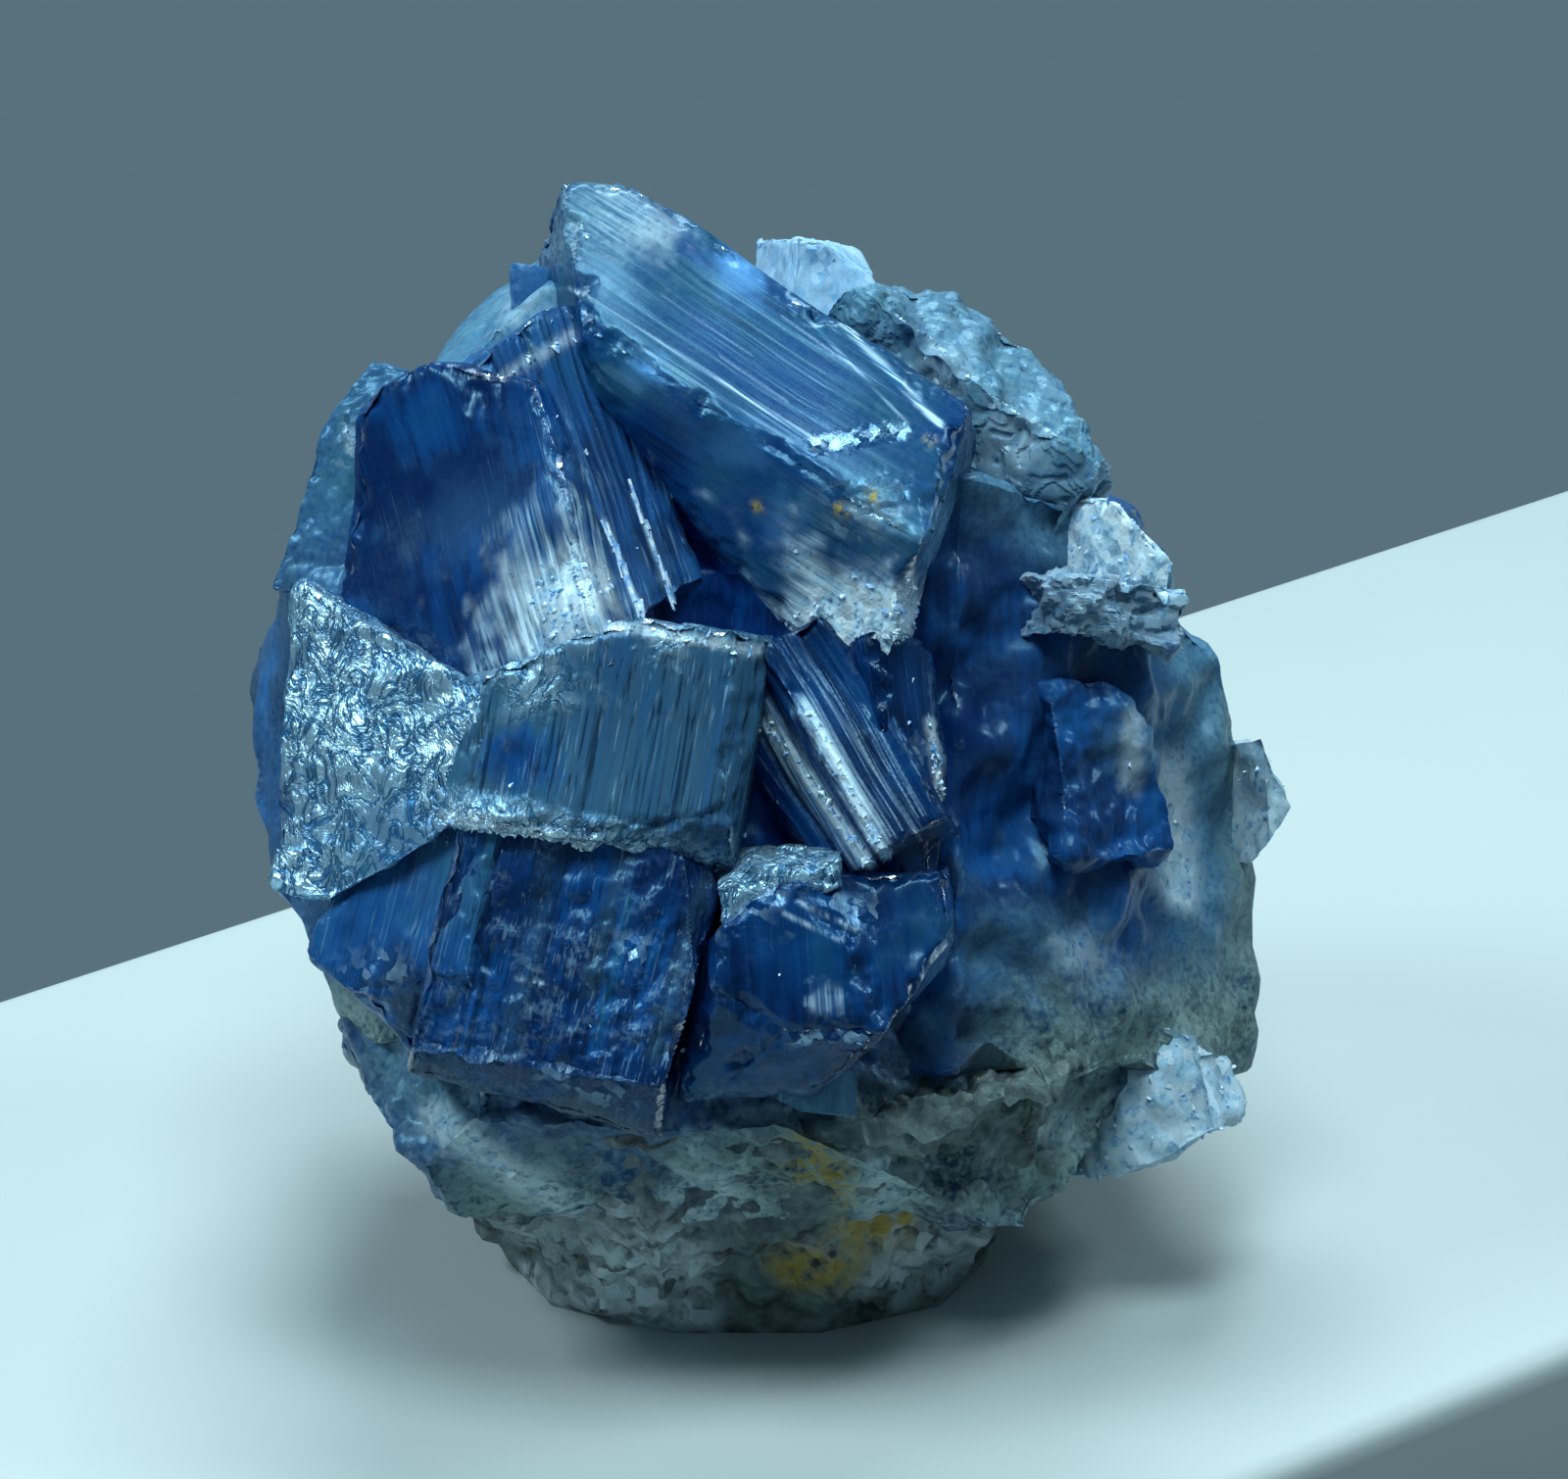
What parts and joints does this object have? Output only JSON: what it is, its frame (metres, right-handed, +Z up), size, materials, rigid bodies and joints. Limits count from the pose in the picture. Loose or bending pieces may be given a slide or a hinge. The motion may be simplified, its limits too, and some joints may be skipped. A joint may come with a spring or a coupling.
{
  "type": "beryl crystal",
  "caption": "Cluster of intergrown blue beryl crystals with striated prisms and crinkled fracture faces, standing on a small foot of pale matrix.",
  "frame": {"origin": "on the flat underside of the matrix foot, at the middle of the cluster's box seen from above", "axes": "+Z up from the surface it stands on, -Y towards the side with the large striated prisms, +X to the right seen from that side"},
  "size_m": [0.0164, 0.0154, 0.0181],
  "materials": {
    "beryl": "deep blue translucent crystal, glossy where fresh, striated along the prisms and crinkled on fractures",
    "matrix": "dull grey-green granular rock with whitish grains and yellow-ochre stains"
  },
  "bodies": {
    "root": {"beryl_cluster": "beryl", "matrix_foot": "matrix"}
  },
  "joints": []
}
